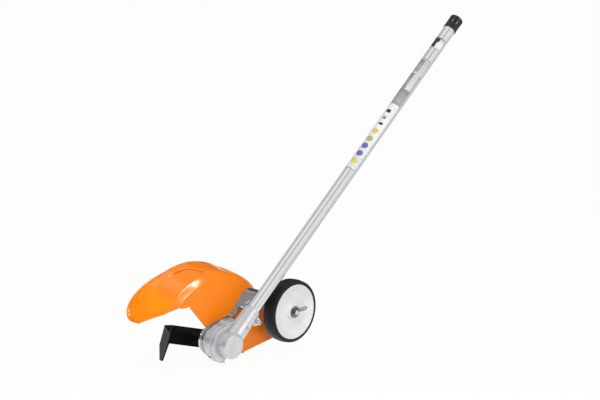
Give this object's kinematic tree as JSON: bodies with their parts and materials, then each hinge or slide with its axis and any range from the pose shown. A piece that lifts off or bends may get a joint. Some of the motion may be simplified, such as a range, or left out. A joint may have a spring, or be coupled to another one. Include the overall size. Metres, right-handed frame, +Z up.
{
  "type": "bed edger attachment",
  "caption": "Bed edger attachment: slim drive tube, bevel gear head with bent-tip blade, moulded deflector hood and a small depth wheel.",
  "frame": {"origin": "middle of the drive tube's coupling end", "axes": "+X to the user's right, along the blade shaft; +Y forward, from the coupling end to the gear head; +Z up"},
  "size_m": [0.1772, 0.8326, 0.6095],
  "materials": {
    "tube_white": "light silver, satin",
    "cast_aluminium": "die cast, satin",
    "polished_steel": "ground and polished",
    "zinc_steel": "zinc plated",
    "blade_paint": "black paint, ground tips",
    "bracket_steel": "bright plated",
    "deflector_orange": "orange, gloss",
    "wheel_white": "off-white, satin",
    "tyre_black": "black, matt",
    "cap_black": "black, matt",
    "seal_rubber": "black",
    "bush_bronze": "sintered bronze"
  },
  "bodies": {
    "edger_frame": {"bush_sleeve_1": "seal_rubber", "bush_sleeve_2": "seal_rubber", "bush_sleeve_3": "seal_rubber", "bush_sleeve_4": "seal_rubber", "clamp_nut": "zinc_steel", "clamp_screw": "zinc_steel", "deflector": "deflector_orange", "deflector_screw_1": "zinc_steel", "deflector_screw_2": "zinc_steel", "deflector_screw_3": "zinc_steel", "drive_tube": "tube_white", "gear_housing": "cast_aluminium", "grease_plug": "zinc_steel", "guard_bracket": "bracket_steel", "input_circlip": "zinc_steel", "input_lower_outer_ring": "polished_steel", "input_upper_outer_ring": "polished_steel", "output_circlip": "zinc_steel", "output_outer_ring": "polished_steel", "output_seal": "seal_rubber", "shaft_bush_1": "bush_bronze", "shaft_bush_2": "bush_bronze", "shaft_bush_3": "bush_bronze", "shaft_bush_4": "bush_bronze", "shaft_end_outer_ring": "polished_steel", "strap_nut": "zinc_steel", "strap_screw": "zinc_steel", "wheel_plate": "bracket_steel"},
    "blade_group": {"output_shaft": "polished_steel", "output_gear": "polished_steel", "gear_key": "zinc_steel", "output_inner_ring": "polished_steel", "shaft_end_inner_ring": "polished_steel", "thrust_ring": "polished_steel", "blade": "blade_paint", "blade_washer": "zinc_steel", "blade_nut": "zinc_steel"},
    "input_group": {"drive_shaft": "polished_steel", "input_pinion": "polished_steel", "pinion_clip": "zinc_steel", "input_lower_inner_ring": "polished_steel", "input_upper_inner_ring": "polished_steel"},
    "cap": {"tube_cap": "cap_black"},
    "axle_group": {"wheel_axle": "zinc_steel", "wheel_washer": "zinc_steel", "axle_lock_washer": "zinc_steel", "axle_lock_nut": "zinc_steel", "wheel_clip": "zinc_steel"},
    "wheel_group": {"wheel_hub": "wheel_white", "tyre": "tyre_black", "wheel_bush": "bush_bronze"}
  },
  "joints": [
    {"name": "blade_spin", "type": "hinge", "parent": "edger_frame", "child": "blade_group", "pos_m": [0, 0.68078, -0.54346], "axis": [1, 0, 0], "continuous": true},
    {"name": "drive_shaft_spin", "type": "hinge", "parent": "edger_frame", "child": "input_group", "pos_m": [0, 0.68078, -0.54346], "axis": [0, -0.7815, 0.6239], "continuous": true},
    {"name": "cap_slide", "type": "slide", "parent": "edger_frame", "child": "cap", "axis": [0, -0.7815, 0.6239], "range_m": [0, 0.06]},
    {"name": "wheel_height", "type": "slide", "parent": "edger_frame", "child": "axle_group", "axis": [0, 0, 1], "range_m": [-0.015, 0.007]},
    {"name": "wheel_spin", "type": "hinge", "parent": "axle_group", "child": "wheel_group", "pos_m": [0, 0.50428, -0.51106], "axis": [1, 0, 0], "continuous": true}
  ],
  "couplings": [
    {"joint": "drive_shaft_spin", "follows": "blade_spin", "ratio": -1.3333}
  ]
}
